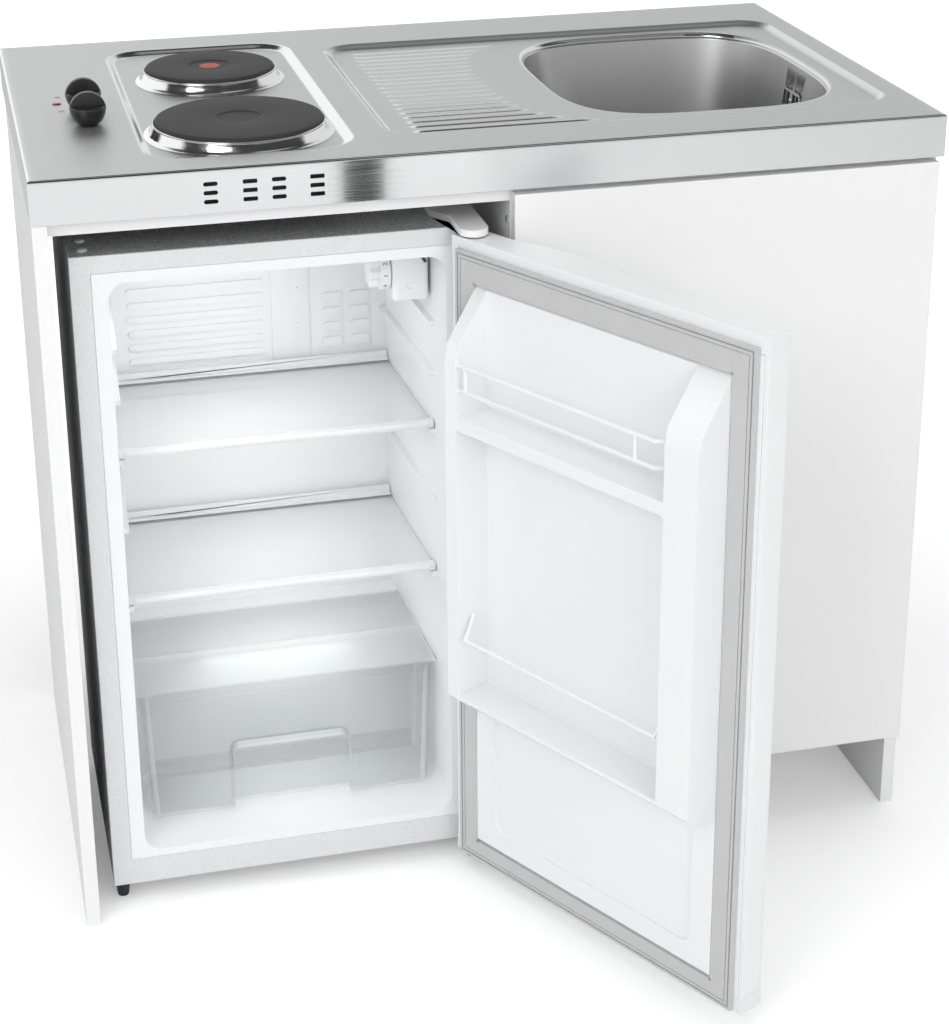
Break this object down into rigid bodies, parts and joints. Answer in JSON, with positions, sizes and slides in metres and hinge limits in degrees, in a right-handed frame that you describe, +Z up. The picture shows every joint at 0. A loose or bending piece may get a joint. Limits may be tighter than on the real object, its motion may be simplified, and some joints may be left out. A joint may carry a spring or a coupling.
{
  "type": "kitchenette unit with sink and hob",
  "caption": "Compact kitchenette: steel worktop with sink, drainer and electric hot plates on white boards, a small fridge with its door open beside a cupboard.",
  "frame": {"origin": "on the floor, at the front edge of the middle upright, on its centre plane", "axes": "+X towards the sink end, +Y towards the wall, +Z up"},
  "size_m": [1, 0.9616, 0.9255],
  "materials": {
    "worktop_steel": "satin stainless steel, fine long grain",
    "bowl_steel": "brushed stainless steel, drawn bowl",
    "polished_steel": "polished stainless steel",
    "zinc_steel": "zinc-plated steel",
    "hob_iron": "matt black heat-resistant paint on cast iron",
    "knob_black": "black moulded plastic, fine grain",
    "lamp_red": "clear dark red lens",
    "switch_body": "moulded switch body",
    "board_white": "white melamine-faced chipboard, satin",
    "hardboard": "thin hardboard back, painted white on the inside",
    "trap_white": "white moulded plastic pipe",
    "gland_grey": "dark moulded plastic",
    "fridge_grey": "embossed sheet steel with dark grey coating",
    "fridge_white": "white enamelled sheet steel, lightly embossed",
    "liner_white": "white vacuum-formed plastic",
    "part_white": "white moulded plastic",
    "gasket_grey": "soft light grey gasket",
    "foam": "rigid insulating foam",
    "clear_glass": "clear safety glass with green-tinted edges",
    "clear_plastic": "clear moulded plastic, blue-green edges",
    "bulb_glass": "frosted bulb",
    "wire_white": "white coated wire",
    "pot_black": "black painted steel",
    "condenser_black": "black painted tube and wire",
    "evaporator_alu": "rolled aluminium sheet",
    "foot_black": "black moulded plastic",
    "hinge_grey": "grey painted steel",
    "cover_grey": "dark grey moulded cover, light rim",
    "button_dark": "dark moulded plunger"
  },
  "bodies": {
    "unit": {"worktop": "worktop_steel", "sink_bowl": "bowl_steel", "overflow_grille": "polished_steel", "waste_fitting": "polished_steel", "overflow_pipe": "trap_white", "bottle_trap": "trap_white", "hob_tray": "zinc_steel", "mains_gland": "gland_grey", "hot_plate_rear": "hob_iron", "hot_plate_front": "hob_iron", "spill_rings": "polished_steel", "plate_brackets": "zinc_steel", "energy_switches": "switch_body", "pilot_lamp": "lamp_red", "left_panel": "board_white", "middle_upright": "board_white", "right_panel": "board_white", "cabinet_floor": "board_white", "cross_rails": "board_white", "back_panel": "hardboard", "panel_screws": "zinc_steel", "worktop_clips": "zinc_steel", "hinge_bases": "zinc_steel", "fridge_shell": "fridge_grey", "fridge_front_frame": "fridge_white", "fridge_liner": "liner_white", "cabinet_foam": "foam", "compressor": "pot_black", "compressor_tray": "zinc_steel", "condenser": "condenser_black", "evaporator": "evaporator_alu", "fridge_feet": "foot_black", "top_hinge": "hinge_grey", "top_hinge_cover": "cover_grey", "bottom_hinge": "hinge_grey", "hinge_plugs": "part_white", "lamp_housing": "part_white", "lamp_bulb": "bulb_glass", "crisper_cover": "clear_glass"},
    "basket": {"strainer_basket": "polished_steel"},
    "rear_knob": {"knob_rear": "knob_black"},
    "front_knob": {"knob_front": "knob_black"},
    "dial": {"thermostat_dial": "part_white"},
    "lamp_button": {"light_switch_button": "button_dark"},
    "cupboard_door": {"cabinet_door": "board_white", "hinge_cups": "zinc_steel"},
    "hinge_arms": {"hinge_links": "zinc_steel"},
    "fridge_door": {"door_skin": "fridge_white", "door_liner": "liner_white", "door_gasket": "gasket_grey", "door_top_cap": "part_white", "door_bottom_cap": "part_white", "door_foam": "foam", "rack_upper": "wire_white", "rack_lower": "wire_white"},
    "high_shelf": {"shelf_upper": "clear_glass", "shelf_upper_trims": "part_white"},
    "low_shelf": {"shelf_lower": "clear_glass", "shelf_lower_trims": "part_white"},
    "drawer": {"crisper_drawer": "clear_plastic"}
  },
  "joints": [
    {"name": "fridge_door_swing", "type": "hinge", "parent": "unit", "child": "fridge_door", "pos_m": [-0.049, 0.0025, 0.4], "axis": [0, 0, 1], "range_deg": [-119.3, 0]},
    {"name": "hinge_arm_slide", "type": "slide", "parent": "unit", "child": "hinge_arms", "axis": [0, -1, 0], "range_m": [0, 0.019]},
    {"name": "cupboard_door_swing", "type": "hinge", "parent": "hinge_arms", "child": "cupboard_door", "pos_m": [0.014, -0.005, 0.47], "axis": [0, 0, -1], "range_deg": [0, 55]},
    {"name": "rear_knob_turn", "type": "hinge", "parent": "unit", "child": "rear_knob", "pos_m": [-0.435, 0.25, 0.9], "axis": [0, 0, -1], "range_deg": [0, 308]},
    {"name": "front_knob_turn", "type": "hinge", "parent": "unit", "child": "front_knob", "pos_m": [-0.435, 0.187, 0.9], "axis": [0, 0, -1], "range_deg": [0, 308]},
    {"name": "dial_turn", "type": "hinge", "parent": "unit", "child": "dial", "pos_m": [-0.12, 0.111, 0.718], "axis": [1, 0, 0], "range_deg": [0, 270]},
    {"name": "lamp_button_press", "type": "slide", "parent": "unit", "child": "lamp_button", "axis": [0, 1, 0], "range_m": [0, 0.004], "stiffness_N_per_m": 60},
    {"name": "high_shelf_slide", "type": "slide", "parent": "unit", "child": "high_shelf", "axis": [0, -1, 0], "range_m": [0, 0.1]},
    {"name": "low_shelf_slide", "type": "slide", "parent": "unit", "child": "low_shelf", "axis": [0, -1, 0], "range_m": [0, 0.1]},
    {"name": "drawer_slide", "type": "slide", "parent": "unit", "child": "drawer", "axis": [0, -1, 0], "range_m": [0, 0.17]},
    {"name": "basket_lift", "type": "slide", "parent": "unit", "child": "basket", "axis": [0, 0, 1], "range_m": [0, 0.03]}
  ],
  "couplings": [
    {"joint": "hinge_arm_slide", "follows": "cupboard_door_swing", "m_per_rad": 0.019}
  ]
}
